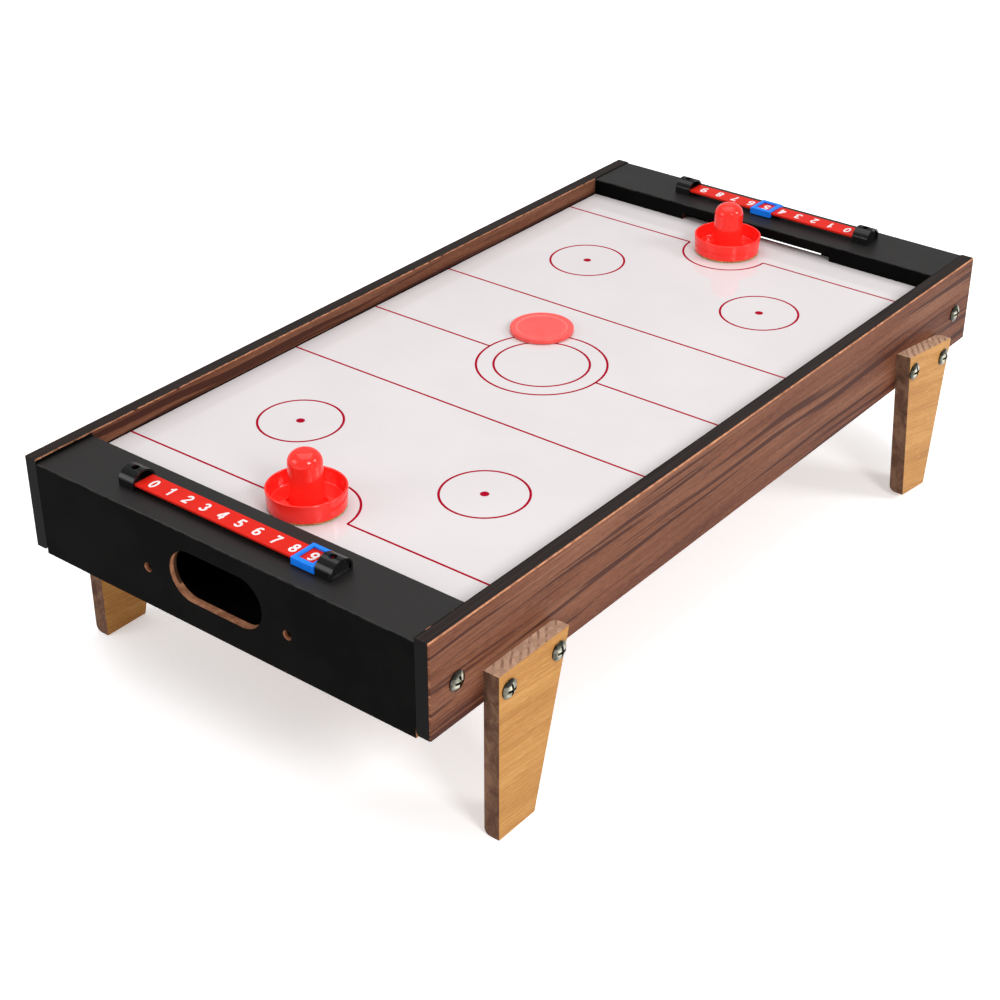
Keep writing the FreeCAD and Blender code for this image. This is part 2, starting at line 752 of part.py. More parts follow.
def make_score_bars():
    screw = make_score_screw_piece()
    for end, digit in ((NEAR, 9), (FAR, 5)):
        make_score_strip(end)
        for side in (LEFT, RIGHT):
            make_score_cap(end, side)
        x, y, z = bar_origin(end)
        seats = [(f"{x} + {sign} * {CAP_CENTRE}", y, f"{z} + {STRIP_TOP}", False) for sign in ("-1", "1")]
        make_group(f"{end}_score_screws", screw, seats)
        make_score_slider(end, digit)


# ---------------------------------------------------------------- playing pieces

def make_striker(end):
    """A round cup with a domed hollow handle in the middle, and a felt disc under it."""
    body = new_body(f"{end}_striker_body")
    inner_base = "(cup_base_radius - cup_wall)"
    inner_rim = "(cup_rim_radius - cup_wall)"
    hollow = "(handle_radius - handle_wall)"
    profile = sketch_on(body, "XZ_Plane")
    add_outline(profile, [
        (hollow, "felt_thickness"), ("cup_base_radius", "felt_thickness"),
        ("cup_rim_radius", "cup_rim_height"), (inner_rim, "cup_rim_height"), (inner_base, "cup_floor"),
        ("handle_radius", "cup_floor"), ("handle_radius", "handle_height"), ("0", "handle_height"),
        ("0", "handle_height - handle_wall"), (hollow, "handle_height - handle_wall")])
    spin(body, profile, "V_Axis")
    rounded = (
        ("handle_dome_radius", "handle_radius", "handle_height"),
        ("handle_dome_radius - handle_wall", hollow, "handle_height - handle_wall"),
        ("cup_edge_radius", "cup_rim_radius", "cup_rim_height"),
        ("cup_edge_radius", inner_rim, "cup_rim_height"),
        ("cup_edge_radius", "cup_base_radius", "felt_thickness"),
        ("cup_corner_radius", inner_base, "cup_floor"),
        ("cup_corner_radius", "handle_radius", "cup_floor"),
    )
    for size, radius, height in rounded:
        fillet(body, size, ring_at(number(radius), number(height)))
    gusset = sketch_on(body, "XZ_Plane", "-gusset_thickness / 2")
    root, tip = "handle_radius - gusset_overlap", "handle_radius + gusset_reach"
    foot = "cup_floor - gusset_overlap"
    add_outline(gusset, [
        (root, foot), (tip, foot), (tip, "cup_floor + gusset_toe"), (root, "cup_floor + gusset_height")])
    first_gusset = pad(body, gusset, "gusset_thickness")
    around = body.newObject("PartDesign::PolarPattern", body.Name + "_pattern")
    around.Originals = [first_gusset]
    around.Axis = (next(item for item in body.Origin.OriginFeatures if item.Role == "Z_Axis"), [""])
    around.Angle = 360
    around.Occurrences = 4
    body.Tip = around
    sign = "-1" if end == NEAR else "1"
    seat = (f"{end}_striker_offset", f"{sign} * (table_length / 2 - {end}_striker_inset)",
            "play_height + sliding_gap")
    turn(body, number("striker_turn"))
    place(body, *seat)
    keep(body, f"{end}_striker_cup")
    felt = document.addObject("Part::Cylinder", f"{end}_felt")
    bind(felt, {"Radius": "felt_radius", "Height": "felt_thickness"})
    place(felt, *seat)
    keep(felt, f"{end}_striker_felt")


def make_puck():
    """A flat disc with a shallow dish in both faces and a rounded edge."""
    body = new_body("puck_body")
    profile = sketch_on(body, "XZ_Plane")
    add_outline(profile, [
        ("0", "puck_dish_depth"), ("puck_dish_radius - puck_dish_depth", "puck_dish_depth"),
        ("puck_dish_radius", "0"), ("puck_radius", "0"), ("puck_radius", "puck_thickness"),
        ("puck_dish_radius", "puck_thickness"),
        ("puck_dish_radius - puck_dish_depth", "puck_thickness - puck_dish_depth"),
        ("0", "puck_thickness - puck_dish_depth")])
    spin(body, profile, "V_Axis")
    for height in ("0", "puck_thickness"):
        fillet(body, "puck_edge_radius", ring_at(number("puck_radius"), number(height)))
    place(body, "puck_offset", "puck_advance", "play_height + sliding_gap")
    return keep(body, "puck")


# ---------------------------------------------------------------- build, check and write

def check_model():
    """Stop if any object failed, or if a piece has no sound shape."""
    for item in document.Objects:
        if {"Invalid", "Error"} & set(item.State):
            raise RuntimeError(f"{item.Label} is {item.State}")
    for part in subparts:
        if part.Shape.isNull() or not part.Shape.isValid():
            raise RuntimeError(f"{part.Label} has no sound shape")
        if not part.Shape.Solids:
            raise RuntimeError(f"{part.Label} holds no solid")


def write_parts():
    os.makedirs("parts", exist_ok=True)
    for part in subparts:
        part.Shape.exportStep(f"parts/{part.Label}.step")


sheet = fill_sheet()
for rail_side in (LEFT, RIGHT):
    make_rail(rail_side)
    for leg_end in (NEAR, FAR):
        make_leg(rail_side, leg_end)
for box_end in (NEAR, FAR):
    make_end_board(box_end)
    make_end_top(box_end)
    make_goal_lip(box_end)
    make_box_inside(box_end)
make_field()
make_fasteners()
make_score_bars()
for striker_end in (NEAR, FAR):
    make_striker(striker_end)
make_puck()
document.recompute()
check_model()
write_parts()
for part in subparts:
    print(part.Label, len(part.Shape.Solids), round(part.Shape.Volume / 1000, 2), "cm3")
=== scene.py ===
"""Looks of a tabletop air hockey game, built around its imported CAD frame. Lengths are in metres."""
import json
import math
import random

import bmesh
import bpy
from mathutils import Matrix, Vector


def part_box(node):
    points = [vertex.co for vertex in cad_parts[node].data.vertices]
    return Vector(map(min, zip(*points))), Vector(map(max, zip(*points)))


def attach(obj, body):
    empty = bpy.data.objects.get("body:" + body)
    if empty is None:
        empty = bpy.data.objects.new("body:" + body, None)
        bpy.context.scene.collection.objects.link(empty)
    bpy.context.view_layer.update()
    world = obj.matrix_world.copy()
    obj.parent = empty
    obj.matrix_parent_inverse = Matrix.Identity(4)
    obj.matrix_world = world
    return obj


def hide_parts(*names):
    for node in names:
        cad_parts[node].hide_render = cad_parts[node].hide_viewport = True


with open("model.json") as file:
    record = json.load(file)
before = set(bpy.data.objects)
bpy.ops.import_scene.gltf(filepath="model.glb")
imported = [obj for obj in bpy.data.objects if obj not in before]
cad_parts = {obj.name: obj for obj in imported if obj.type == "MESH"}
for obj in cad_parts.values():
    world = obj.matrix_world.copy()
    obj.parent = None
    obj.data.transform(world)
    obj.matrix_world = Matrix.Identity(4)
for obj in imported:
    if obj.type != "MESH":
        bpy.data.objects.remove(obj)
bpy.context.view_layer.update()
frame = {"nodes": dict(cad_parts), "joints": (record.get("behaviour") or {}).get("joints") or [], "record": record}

MM = 0.001
ENDS = ("near", "far")
INK_HEIGHT = 0.04 * MM


# ---------------------------------------------------------------- helpers for materials

def shaded(colour, factor):
    return tuple(channel * factor for channel in colour)


def set_stops(ramp, stops):
    """Fill a colour ramp: each stop is a position and a colour."""
    elements = ramp.color_ramp.elements
    while len(elements) < len(stops):
        elements.new(0.5)
    for element, (position, colour) in zip(elements, stops):
        element.position = position
        element.color = (*colour, 1)


class Look:
    """A Principled material under construction, worked out from a piece's own coordinates and normals."""

    def __init__(self, name, roughness=0.5, metallic=0.0, gloss=0.5):
        self.material = bpy.data.materials.new(name)
        self.material.use_nodes = True
        self.tree = self.material.node_tree
        self.shader = self.tree.nodes["Principled BSDF"]
        self.set("Roughness", roughness)
        self.set("Metallic", metallic)
        self.set("Specular IOR Level", gloss)
        coordinates = self.tree.nodes.new("ShaderNodeTexCoord")
        self.place = coordinates.outputs["Object"]
        self.x, self.y, self.z = self.split(self.place)
        self.facing = self.split(coordinates.outputs["Normal"])

    def set(self, socket, value):
        self.shader.inputs[socket].default_value = value

    def feed(self, socket, value):
        """Give a socket a value, whether that is another node's output or a plain number or colour."""
        if isinstance(value, bpy.types.NodeSocket):
            self.tree.links.new(value, socket)
        elif isinstance(value, tuple) and socket.type == "RGBA":
            socket.default_value = (*value, 1)
        else:
            socket.default_value = value

    def split(self, vector):
        node = self.tree.nodes.new("ShaderNodeSeparateXYZ")
        self.feed(node.inputs[0], vector)
        return node.outputs

    def math(self, operation, *values):
        node = self.tree.nodes.new("ShaderNodeMath")
        node.operation = operation
        for socket, value in zip(node.inputs, values):
            self.feed(socket, value)
        return node.outputs[0]

    def size_of(self, value):
        return self.math("ABSOLUTE", value)

    def times(self, first, second):
        return self.math("MULTIPLY", first, second)

    def plus(self, first, second):
        return self.math("ADD", first, second)

    def minus(self, first, second):
        return self.math("SUBTRACT", first, second)

    def both(self, *masks):
        """A mask that is 1 where all of the masks are 1."""
        result = masks[0]
        for mask in masks[1:]:
            result = self.times(result, mask)
        return result

    def either(self, *masks):
        """A mask that is 1 where any of the masks is 1."""
        result = masks[0]
        for mask in masks[1:]:
            result = self.math("MAXIMUM", result, mask)
        return result

    def scaled(self, sizes, lean):
        """Coordinates in which a grain's size along each axis is one unit, turned about X by lean."""
        source = self.place
        if lean:
            turned = self.tree.nodes.new("ShaderNodeMapping")
            self.feed(turned.inputs["Vector"], source)
            turned.inputs["Rotation"].default_value = (lean, 0, 0)
            source = turned.outputs[0]
        node = self.tree.nodes.new("ShaderNodeMapping")
        self.feed(node.inputs["Vector"], source)
        node.inputs["Scale"].default_value = [1 / size for size in sizes]
        return node.outputs[0]

    def joined(self, x, y, z):
        node = self.tree.nodes.new("ShaderNodeCombineXYZ")
        for socket, value in zip(node.inputs, (x, y, z)):
            self.feed(socket, value)
        return node.outputs[0]

    def noise(self, sizes, detail=3.0, roughness=0.55, distortion=0.0, lean=0.0):
        """Cloudy noise from 0 to 1; sizes are its feature sizes along X, Y and Z, or one for all three."""
        if not isinstance(sizes, tuple):
            sizes = (sizes, sizes, sizes)
        return self.noise_at(self.scaled(sizes, lean), detail, roughness, distortion)

    def noise_at(self, place, detail=3.0, roughness=0.55, distortion=0.0):
        """Cloudy noise from 0 to 1, whose features are about one unit of the given place in size."""
        node = self.tree.nodes.new("ShaderNodeTexNoise")
        self.feed(node.inputs["Vector"], place)
        node.inputs["Scale"].default_value = 1
        node.inputs["Detail"].default_value = detail
        node.inputs["Roughness"].default_value = roughness
        node.inputs["Distortion"].default_value = distortion
        return node.outputs[0]

    def ramp(self, value, *stops):
        """Colours along a value: each stop is a position and a colour."""
        node = self.tree.nodes.new("ShaderNodeValToRGB")
        self.feed(node.inputs[0], value)
        set_stops(node, stops)
        return node.outputs[0]

    def between(self, value, start, end):
        """A smooth step: 0 at start and before it, 1 at end and beyond it."""
        node = self.tree.nodes.new("ShaderNodeMapRange")
        node.interpolation_type = "SMOOTHSTEP"
        self.feed(node.inputs["Value"], value)
        node.inputs["From Min"].default_value = min(start, end)
        node.inputs["From Max"].default_value = max(start, end)
        node.inputs["To Min"].default_value = 0 if start < end else 1
        node.inputs["To Max"].default_value = 1 if start < end else 0
        return node.outputs[0]

    def mix(self, amount, first, second):
        node = self.tree.nodes.new("ShaderNodeMix")
        node.data_type = "RGBA"
        self.feed(node.inputs[0], amount)
        colours = [socket for socket in node.inputs if socket.type == "RGBA"]
        self.feed(colours[0], first)
        self.feed(colours[1], second)
        return next(socket for socket in node.outputs if socket.type == "RGBA")

    def colour(self, value):
        self.feed(self.shader.inputs["Base Color"], value)

    def spread(self, value, low, high):
        """A value from 0 to 1, stretched to run between two limits."""
        node = self.tree.nodes.new("ShaderNodeMapRange")
        self.feed(node.inputs["Value"], value)
        node.inputs["To Min"].default_value = low
        node.inputs["To Max"].default_value = high
        return node.outputs[0]

    def roughness(self, value, low, high):
        self.feed(self.shader.inputs["Roughness"], self.spread(value, low, high))

    def ridges(self, value, period):
        """Even ridges along a length: 0.5 in the flat hollows between them, 1 along their tops."""
        turns = self.times(value, 2 * math.pi / period)
        return self.spread(self.math("SINE", turns), 0.5, 1.0)

    def glow(self, weight):
        """Light that sinks into red plastic, where red goes deeper than the other colours."""
        self.set("Subsurface Weight", weight)
        self.set("Subsurface Radius", (4 * MM, 1 * MM, 1 * MM))
        self.set("Subsurface Scale", 1.0)

    def relief(self, height, depth):
        """Small relief in the surface, whose whole range from 0 to 1 is that deep."""
        node = self.tree.nodes.new("ShaderNodeBump")
        node.inputs["Strength"].default_value = 1
        node.inputs["Distance"].default_value = depth
        self.feed(node.inputs["Height"], height)
        self.feed(self.shader.inputs["Normal"], node.outputs[0])


# ---------------------------------------------------------------- wood materials

RAW_LIGHT = (0.400, 0.190, 0.105)
RAW_MID = (0.265, 0.115, 0.062)
RAW_DARK = (0.125, 0.052, 0.030)
BLACK = (0.0028, 0.0027, 0.0026)


def raw_board_colour(look, light=1.0):
    """Cut fibreboard: brown, mottled, with fine dark fibres."""
    mottle = look.noise(6 * MM, detail=4, roughness=0.6)
    fibres = look.noise(0.6 * MM, detail=2)
    amount = look.plus(look.times(mottle, 0.65), look.times(fibres, 0.35))
    return look.ramp(amount, (0.34, shaded(RAW_DARK, light)), (0.5, shaded(RAW_MID, light)),
                     (0.66, shaded(RAW_LIGHT, light)))


def make_raw_board():
    look = Look("raw fibreboard", roughness=0.85)
    look.colour(raw_board_colour(look))
    look.relief(look.noise(0.5 * MM, detail=3), 0.10 * MM)
    return look.material


def walnut_colour(look):
    """Mid brown with long dark streaks that taper off, finer lines between them and short pale pores."""
    sway = look.noise((90 * MM, 160 * MM, 40 * MM), detail=1)
    bent = look.plus(look.z, look.times(look.minus(sway, 0.5), 9 * MM))
    grain_place = look.joined(look.times(look.x, 1 / (60 * MM)),
                              look.times(look.y, 1 / (260 * MM)),
                              look.times(bent, 1 / (5.2 * MM)))
    streaks = look.noise_at(grain_place, detail=1.5, roughness=0.45)
    bands = look.noise((60 * MM, 330 * MM, 24 * MM), detail=2)
    lines = look.noise((14 * MM, 110 * MM, 1.2 * MM), detail=2, roughness=0.6)
    ground = look.ramp(bands, (0.34, (0.110, 0.036, 0.019)), (0.50, (0.158, 0.058, 0.030)),
                       (0.66, (0.207, 0.088, 0.050)))
    fine_lines = look.times(look.between(lines, 0.52, 0.36), 0.52)
    wood = look.mix(fine_lines, ground, (0.062, 0.020, 0.013))
    pores = look.noise((4 * MM, 7 * MM, 0.42 * MM), detail=1)
    pale_pores = look.times(look.between(pores, 0.58, 0.72), 0.25)
    wood = look.mix(pale_pores, wood, (0.33, 0.19, 0.13))
    dark_streaks = look.times(look.between(streaks, 0.460, 0.370), 0.88)
    wood = look.mix(dark_streaks, wood, (0.044, 0.014, 0.010))
    dark_pores = look.times(look.between(pores, 0.41, 0.30), 0.48)
    return look.mix(dark_pores, wood, (0.052, 0.018, 0.012))


def charcoal_band(look, brushed, inner_side):
    """The dark edge band of a rail, blacker along the field's side and on the rail's ends."""
    band = look.ramp(brushed, (0.35, (0.013, 0.010, 0.009)), (0.65, (0.030, 0.022, 0.020)))
    inner_rim = look.between(look.size_of(look.x), inner_side + 1.4 * MM, inner_side + 0.6 * MM)
    band = look.mix(look.times(inner_rim, 0.7), band, BLACK)
    on_end = look.between(look.size_of(look.facing[1]), 0.80, 0.90)
    return look.mix(on_end, band, BLACK)


def worn_corners(look, low, high, lip_face):
    """Masks of a rail's bare corners: wholly worn ones first, then the lightly worn ones at its foot."""
    across = look.size_of(look.x)
    chips = look.noise(3.5 * MM, detail=4, roughness=0.65)
    rounded = look.both(look.between(across, high.x - 1.1 * MM, high.x - 0.7 * MM),
                        look.between(look.size_of(look.facing[0]), 0.95, 0.85))
    outer_top = look.both(rounded, look.between(look.z, high.z - 2 * MM, high.z - 1 * MM))
    outer_foot = look.both(rounded, look.between(look.z, low.z + 1 * MM, low.z + 2 * MM),
                           look.between(chips, 0.50, 0.60))

    ragged = look.times(look.minus(chips, 0.5), 1.6 * MM)
    near_top = look.between(look.plus(look.z, ragged), high.z - 0.85 * MM, high.z - 0.55 * MM)
    near_inside = look.between(look.plus(across, ragged), low.x + 0.75 * MM, low.x + 0.4 * MM)
    beside_near_box = look.between(look.y, -lip_face, -lip_face - 1 * MM)
    before_far_box = look.between(look.y, lip_face, lip_face - 1 * MM)
    left_rail = look.both(look.between(look.x, 1 * MM, -1 * MM), before_far_box)
    chipped = look.noise(7 * MM, detail=3, roughness=0.6)
    many_chips = look.both(left_rail, look.between(chipped, 0.30, 0.44))
    few_chips = look.both(beside_near_box, look.between(chipped, 0.56, 0.62))
    inner_top = look.both(near_top, near_inside, look.either(many_chips, few_chips))
    return look.either(outer_top, inner_top), outer_foot


def painted_shade_inside(look, inner_side, lip_face):
    """A mask of the rail's inner face that is painted black as shade: a painted shadow gap along the field's edge,
    and painted shade within the end boxes.
    """
    on_inner_side = look.between(look.size_of(look.x), inner_side + 0.3 * MM, inner_side + 0.1 * MM)
    field_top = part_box("field_sheet")[1].z
    at_field = look.between(look.z, field_top + 0.9 * MM, field_top + 0.4 * MM)
    in_end_box = look.between(look.size_of(look.y), lip_face, lip_face + 1 * MM)
    return look.both(on_inner_side, look.either(at_field, in_end_box))


def make_walnut():
    """Walnut laminate on the rails' faces, a charcoal band on their edges, raw board at worn corners, and painted
    black shade on the inner faces at the field's edge and inside the end boxes.
    """
    low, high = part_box("right_side_rail")
    lip_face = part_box("far_goal_lip")[0].y
    look = Look("walnut laminate", roughness=0.42, gloss=0.05)
    brushed = look.noise((0.7 * MM, 60 * MM, 0.7 * MM), detail=3, roughness=0.6)
    raw = raw_board_colour(look, light=1.50)
    facing_y, facing_z = (look.size_of(look.facing[axis]) for axis in (1, 2))
    on_edge = look.between(look.either(facing_y, facing_z), 0.80, 0.90)
    worn, lightly_worn = worn_corners(look, low, high, lip_face)
    # painted shade: the inner face is painted black along the field's edge and inside the end boxes
    colour = look.mix(painted_shade_inside(look, low.x, lip_face), walnut_colour(look), BLACK)
    colour = look.mix(on_edge, colour, charcoal_band(look, brushed, low.x))
    colour = look.mix(look.times(lightly_worn, 0.5), colour, raw)
    look.colour(look.mix(worn, colour, raw))
    look.roughness(brushed, 0.36, 0.56)
    look.relief(brushed, 0.025 * MM)
    return look.material


def bare_board_mask(look):
    """Where black board is bare: in the return openings, small holes and goal slots, and at chipped feet; deep in
    the small holes the bare board fades back to black as painted shade.
    """
    goal_slot_height = 5.5 * MM
    holes_depth = 20 * MM
    cuts_reach = 80 * MM
    opening_reach = 36 * MM
    chip_height = 6 * MM
    board_low, board_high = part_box("near_end_board")
    outer_face = -board_low.y
    inner_face = -board_high.y
    holes_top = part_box("near_end_top")[1].z - holes_depth
    chip_top = board_low.z + chip_height
    slot_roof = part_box("field_sheet")[1].z + goal_slot_height
    lip_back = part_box("far_goal_lip")[1].y
    facing_x, facing_y = (look.size_of(look.facing[axis]) for axis in (0, 1))
    along = look.size_of(look.y)
    across = look.size_of(look.x)

    past_inner_face = look.between(along, inner_face, inner_face + 0.2 * MM)
    in_end_board = look.both(past_inner_face, look.between(look.z, holes_top + 1 * MM, holes_top))
    in_lip = look.both(look.between(along, lip_back, lip_back - 0.2 * MM),
                       look.between(look.z, slot_roof, slot_roof - 0.3 * MM))
    cut = look.both(look.between(facing_y, 0.30, 0.20),
                    look.between(across, cuts_reach + 1 * MM, cuts_reach))
    chipped_foot = look.both(look.between(facing_x, 0.7, 0.9), past_inner_face,
                             look.between(look.z, chip_top + 2 * MM, chip_top))
    bare = look.either(look.both(cut, look.either(in_end_board, in_lip)), chipped_foot)
    # painted shade: deeper than a few millimetres into the small holes the raw walls are painted back towards
    # black
    painted_shade_in_small_hole = look.both(look.between(across, opening_reach, opening_reach + 1 * MM),
                                   look.between(along, outer_face - 2.5 * MM, outer_face - 4 * MM))
    return look.times(bare, look.spread(painted_shade_in_small_hole, 1.0, 0.15))


def make_black_board(name, gloss):
    """Black laminated board, raw where a hole is cut through it; its top faces are painted lighter as painted
    light, and a lighter line along its folds is partly wear and partly painted highlight.
    """
    look = Look(name, roughness=0.42, gloss=gloss)
    facing_x, facing_y, facing_z = (look.size_of(part) for part in look.facing)
    clouds = look.noise(45 * MM, detail=4)
    black = look.mix(look.between(clouds, 0.35, 0.65), BLACK, shaded(BLACK, 1.6))
    # painted light: faces that look upwards are painted a lighter black than the sides
    black = look.mix(look.between(facing_z, 0.8, 0.95), black, (0.0075, 0.0062, 0.0058))
    dust = look.between(look.noise(1.1 * MM, detail=1), 0.80, 0.86)
    black = look.mix(look.times(dust, 0.20), black, (0.20, 0.18, 0.17))
    # the rounded folds get a lighter line that is partly worn edge and partly painted highlight
    rounded = look.between(look.either(facing_y, facing_z), 0.90, 0.80)
    fold = look.both(rounded, look.between(facing_x, 0.2, 0.1))
    rubbed_wear_and_highlight = look.between(look.noise((9 * MM, 2 * MM, 2 * MM), detail=4, roughness=0.7), 0.40, 0.60)
    black = look.mix(look.times(look.both(fold, rubbed_wear_and_highlight), 0.35), black, (0.045, 0.041, 0.039))
    look.colour(look.mix(bare_board_mask(look), black, raw_board_colour(look, light=1.30)))
    look.roughness(clouds, 0.36, 0.50)
    grit = look.noise(0.5 * MM, detail=2)
    waves = look.noise(30 * MM, detail=1)
    look.relief(look.plus(waves, look.times(grit, 0.06)), 0.25 * MM)
    return look.material


def beech_colour(look, lean):
    """Golden wood: soft bands and streaks, with short dark pores and pale flecks along the grain."""
    tilt = math.radians(5) + lean
    bands = look.noise((30 * MM, 150 * MM, 12 * MM), detail=2, lean=tilt)
    streaks = look.noise((12 * MM, 90 * MM, 1.0 * MM), detail=2, roughness=0.6, lean=tilt)
    dashes = look.noise((6 * MM, 9 * MM, 0.36 * MM), detail=1, lean=tilt)
    figure = look.plus(look.times(bands, 0.45), look.times(streaks, 0.55))
    wood = look.ramp(figure, (0.36, (0.340, 0.148, 0.036)), (0.50, (0.402, 0.189, 0.048)),
                     (0.64, (0.470, 0.240, 0.070)))
    pores = look.times(look.between(dashes, 0.38, 0.29), 0.50)
    wood = look.mix(pores, wood, (0.200, 0.074, 0.017))
    flecks = look.times(look.between(dashes, 0.61, 0.72), 0.45)
    return look.mix(flecks, wood, (0.600, 0.365, 0.150))


def make_beech(name, lean=0.0):
    """Beech laminate on a leg's two faces; its cut edges are bare board with the marks of the saw, the bare top
    painted light and the bare sides painted dark as painted light and shade.
    """
    saw_mark_spacing = 9 * MM
    look = Look(name, roughness=0.42, gloss=0.07)
    facing_x, facing_z = (look.size_of(look.facing[axis]) for axis in (0, 2))
    mottle = look.noise((9 * MM, 9 * MM, 14 * MM), detail=4, roughness=0.62, distortion=0.8)
    fibres = look.noise(0.7 * MM, detail=2)
    speckled = look.plus(look.times(mottle, 0.72), look.times(fibres, 0.28))
    # painted light and shade: the bare sides here and the bare top below are one board, painted dark on the sides
    # and light on the top
    side = look.ramp(speckled, (0.36, (0.070, 0.034, 0.022)), (0.48, (0.115, 0.058, 0.036)),
                     (0.60, (0.175, 0.094, 0.058)))
    diagonal = look.plus(look.y, look.times(look.size_of(look.x), 1.4))
    wander = look.times(look.noise(7 * MM, detail=3), 6 * MM)
    marks = look.ridges(look.plus(diagonal, wander), saw_mark_spacing)
    saw_marks = look.times(look.between(marks, 0.55, 0.95), look.between(mottle, 0.40, 0.55))
    top = look.ramp(speckled, (0.38, (0.370, 0.218, 0.146)), (0.60, (0.560, 0.356, 0.244)))
    top = look.mix(look.times(saw_marks, 0.85), top, (0.225, 0.118, 0.078))
    bare = look.mix(look.between(facing_z, 0.80, 0.90), side, top)

    on_face = look.between(facing_x, 0.90, 0.97)
    look.colour(look.mix(on_face, bare, beech_colour(look, lean)))
    look.roughness(on_face, 0.80, 0.42)
    look.relief(look.times(look.minus(1, on_face), fibres), 0.10 * MM)
    return look.material


# ---------------------------------------------------------------- field, metal, plastic and felt

def make_field_film():
    look = Look("white field film", roughness=0.10)
    clouds = look.noise(90 * MM, detail=3)
    white = look.mix(look.between(clouds, 0.3, 0.7), (0.620, 0.582, 0.588), (0.645, 0.607, 0.612))
    specks = look.between(look.noise(1.4 * MM, detail=0), 0.86, 0.90)
    look.colour(look.mix(look.times(specks, 0.5), white, (0.40, 0.36, 0.35)))
    look.roughness(clouds, 0.015, 0.035)
    look.relief(look.noise(60 * MM, detail=1), 0.02 * MM)
    return look.material


def make_plastic(name, colour, roughness, gloss, shade=0.90, scuffs=0.0, relief=0.02 * MM, glow=0.0):
    """Moulded plastic: slight unevenness in its colour and gloss, faint moulding waves, and scuffs."""
    look = Look(name, roughness=roughness, gloss=gloss)
    clouds = look.noise(9 * MM, detail=3)
    body = look.mix(look.between(clouds, 0.3, 0.7), colour, shaded(colour, shade))
    if scuffs:
        scratch = look.noise((6 * MM, 0.5 * MM, 2.5 * MM), detail=3, roughness=0.7, distortion=1.5)
        worn = look.times(look.between(scratch, 0.62, 0.72), scuffs)
        body = look.mix(worn, body, tuple(min(1, channel * 2 + 0.16) for channel in colour))
    look.colour(body)
    look.roughness(look.noise(4 * MM, detail=4), roughness * 0.7, roughness * 1.3)
    look.relief(look.noise(7 * MM, detail=2), relief)
    if glow:
        look.glow(glow)
    return look.material


def make_red_strip():
    """Red plastic, painted black as shade where the strip's ends lie in the dark under their holders."""
    look = Look("red strip", roughness=0.34, gloss=0.08)
    clouds = look.noise(9 * MM, detail=3)
    red = look.mix(look.between(clouds, 0.3, 0.7), (0.640, 0.017, 0.009), (0.600, 0.015, 0.008))
    ends = []
    for end, side in (("near", -1), ("far", 1)):
        left, right = (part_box(f"{end}_{name}_score_cap") for name in ("left", "right"))
        beyond = look.either(look.between(look.x, left[1].x, left[1].x - 1 * MM),
                             look.between(look.x, right[0].x, right[0].x + 1 * MM))
        at_this_end = look.between(look.y, -side * MM, side * MM)
        ends.append(look.both(beyond, at_this_end))
    # painted shade: the strip's ends under the holders are painted black
    look.colour(look.mix(look.either(*ends), red, BLACK))
    look.roughness(look.noise(4 * MM, detail=4), 0.24, 0.44)
    look.relief(look.noise(7 * MM, detail=2), 0.02 * MM)
    return look.material


def make_puck():
    """Coral plastic whose dish has a paler ring along its edge: a painted highlight."""
    low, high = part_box("puck")
    centre = (low + high) / 2
    rim_width = 5 * MM
    dish_edge = (high.x - low.x) / 2 - rim_width
    look = Look("coral plastic", roughness=0.32, gloss=0.3)
    length = look.tree.nodes.new("ShaderNodeVectorMath")
    length.operation = "LENGTH"
    look.feed(length.inputs[0], look.joined(look.minus(look.x, centre.x), look.minus(look.y, centre.y), 0.0))
    reach = length.outputs["Value"]
    clouds = look.noise(9 * MM, detail=3)
    coral = look.mix(look.between(clouds, 0.3, 0.7), (0.920, 0.095, 0.085), (0.860, 0.085, 0.076))
    # painted highlight: a paler ring along the edge of the dish
    ring = look.both(look.between(reach, dish_edge - 1.2 * MM, dish_edge - 0.5 * MM),
                     look.between(reach, dish_edge + 0.9 * MM, dish_edge + 0.2 * MM))
    look.colour(look.mix(look.times(ring, 0.55), coral, (0.980, 0.240, 0.215)))
    look.roughness(look.noise(4 * MM, detail=4), 0.24, 0.42)
    look.relief(look.noise(7 * MM, detail=2), 0.02 * MM)
    look.glow(0.10)
    return look.material


def make_ink(name, colour):
    look = Look(name, roughness=0.30, gloss=0.02)
    look.colour(look.mix(look.noise(3 * MM, detail=4), shaded(colour, 0.80), colour))
    return look.material


def make_zinc(name, tint):
    """Smooth plating with a tint, a little uneven; its rims and slanted sides are painted dark as a painted
    reflection of dark surroundings.
    """
    look = Look(name, roughness=0.12, metallic=1.0)
    facing_x, facing_z = (look.size_of(look.facing[axis]) for axis in (0, 2))
    clouds = look.noise(4 * MM, detail=1)
    plating = look.mix(look.between(clouds, 0.35, 0.65), shaded(tint, 0.34), tint)
    # painted reflection: faces that turn away from the front are painted nearly black
    steep_painted_dark = look.between(look.either(facing_x, facing_z), 0.96, 0.80)
    look.colour(look.mix(look.times(steep_painted_dark, 0.92), plating, (0.016, 0.015, 0.013)))
    look.roughness(look.noise(1.5 * MM, detail=3), 0.04, 0.12)
    look.relief(look.noise(3 * MM, detail=1), 0.03 * MM)
    return look.material


def make_felt():
    look = Look("brown felt", roughness=0.95)
    tufts = look.noise((0.9 * MM, 0.9 * MM, 0.5 * MM), detail=4, roughness=0.7)
    look.colour(look.ramp(tufts, (0.36, (0.090, 0.040, 0.011)), (0.48, (0.360, 0.185, 0.048)),
                          (0.60, (0.800, 0.490, 0.140))))
    look.set("Sheen Weight", 0.2)
    look.relief(tufts, 0.25 * MM)
    return look.material


